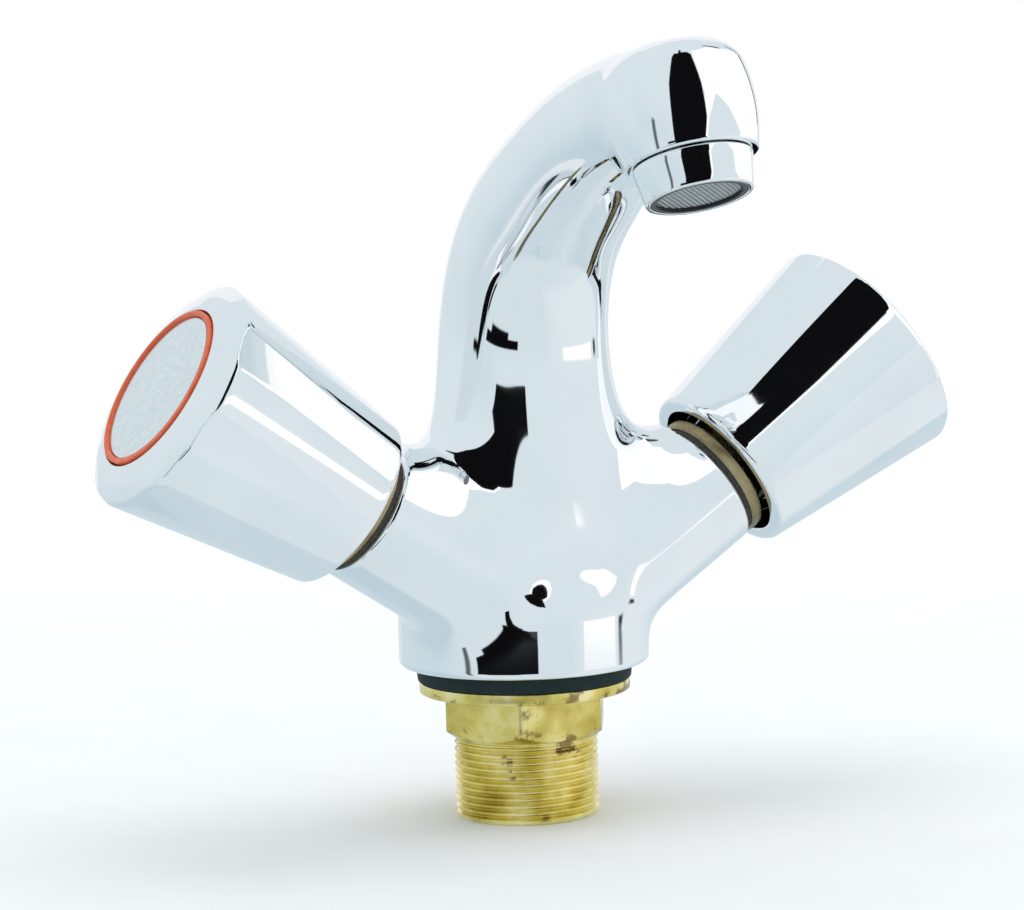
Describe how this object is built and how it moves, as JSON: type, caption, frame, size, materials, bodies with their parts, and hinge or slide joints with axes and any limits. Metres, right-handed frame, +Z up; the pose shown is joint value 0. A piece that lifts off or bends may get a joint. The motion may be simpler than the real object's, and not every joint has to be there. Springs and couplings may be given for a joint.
{
  "type": "basin mixer faucet",
  "caption": "Chromed deck-mounted basin mixer: round base, raised side arms with tapered fluted handles, and an arched fixed spout with an aerator.",
  "frame": {"origin": "centre of the deck plane, on the underside of the shank's flange", "axes": "+Z up out of the deck, -Y toward the user along the spout, +X toward the cold handle"},
  "size_m": [0.1876, 0.1139, 0.1608],
  "materials": {
    "chrome_plate": "polished chrome plating",
    "bare_brass": "turned, unpolished, stained",
    "black_rubber": "matt",
    "black_plastic": "moulded",
    "white_plastic": "moulded",
    "fibre_seal": "pressed fibre",
    "screen_steel": "woven mesh",
    "spring_steel": "zinc plated",
    "red_index": "moulded",
    "blue_index": "moulded"
  },
  "bodies": {
    "mixer": {"body_casting": "chrome_plate", "shank": "bare_brass", "base_gasket": "black_rubber", "aerator_housing": "chrome_plate", "aerator_insert": "black_plastic", "aerator_screen": "screen_steel", "aerator_washer": "black_rubber", "hot_valve_seat": "bare_brass", "hot_bonnet_seal": "fibre_seal", "hot_bonnet": "bare_brass", "hot_thrust_washer": "white_plastic", "cold_valve_seat": "bare_brass", "cold_bonnet_seal": "fibre_seal", "cold_bonnet": "bare_brass", "cold_thrust_washer": "white_plastic"},
    "hot_handle_turning": {"hot_handle": "chrome_plate", "hot_handle_screw": "spring_steel", "hot_index_ring": "red_index", "hot_index_cap": "chrome_plate", "hot_spindle": "bare_brass", "hot_oring_lower": "black_rubber", "hot_oring_upper": "black_rubber", "hot_circlip": "spring_steel"},
    "hot_valve": {"hot_piston": "bare_brass", "hot_seat_washer": "black_rubber", "hot_washer_screw": "bare_brass"},
    "cold_handle_turning": {"cold_handle": "chrome_plate", "cold_handle_screw": "spring_steel", "cold_index_ring": "blue_index", "cold_index_cap": "chrome_plate", "cold_spindle": "bare_brass", "cold_oring_lower": "black_rubber", "cold_oring_upper": "black_rubber", "cold_circlip": "spring_steel"},
    "cold_valve": {"cold_piston": "bare_brass", "cold_seat_washer": "black_rubber", "cold_washer_screw": "bare_brass"}
  },
  "joints": [
    {"name": "hot_handle_turn", "type": "hinge", "parent": "mixer", "child": "hot_handle_turning", "pos_m": [0, -0.0076, 0.0152], "axis": [-0.8377, 0, 0.5461], "range_deg": [0, 900]},
    {"name": "hot_valve_lift", "type": "slide", "parent": "mixer", "child": "hot_valve", "axis": [-0.8377, 0, 0.5461], "range_m": [0, 0.0045]},
    {"name": "cold_handle_turn", "type": "hinge", "parent": "mixer", "child": "cold_handle_turning", "pos_m": [0, -0.0076, 0.0152], "axis": [0.8377, 0, 0.5461], "range_deg": [0, 900]},
    {"name": "cold_valve_lift", "type": "slide", "parent": "mixer", "child": "cold_valve", "axis": [0.8377, 0, 0.5461], "range_m": [0, 0.0045]}
  ],
  "couplings": [
    {"joint": "hot_valve_lift", "follows": "hot_handle_turn", "m_per_rad": 0.00028648},
    {"joint": "cold_valve_lift", "follows": "cold_handle_turn", "m_per_rad": 0.00028648}
  ]
}
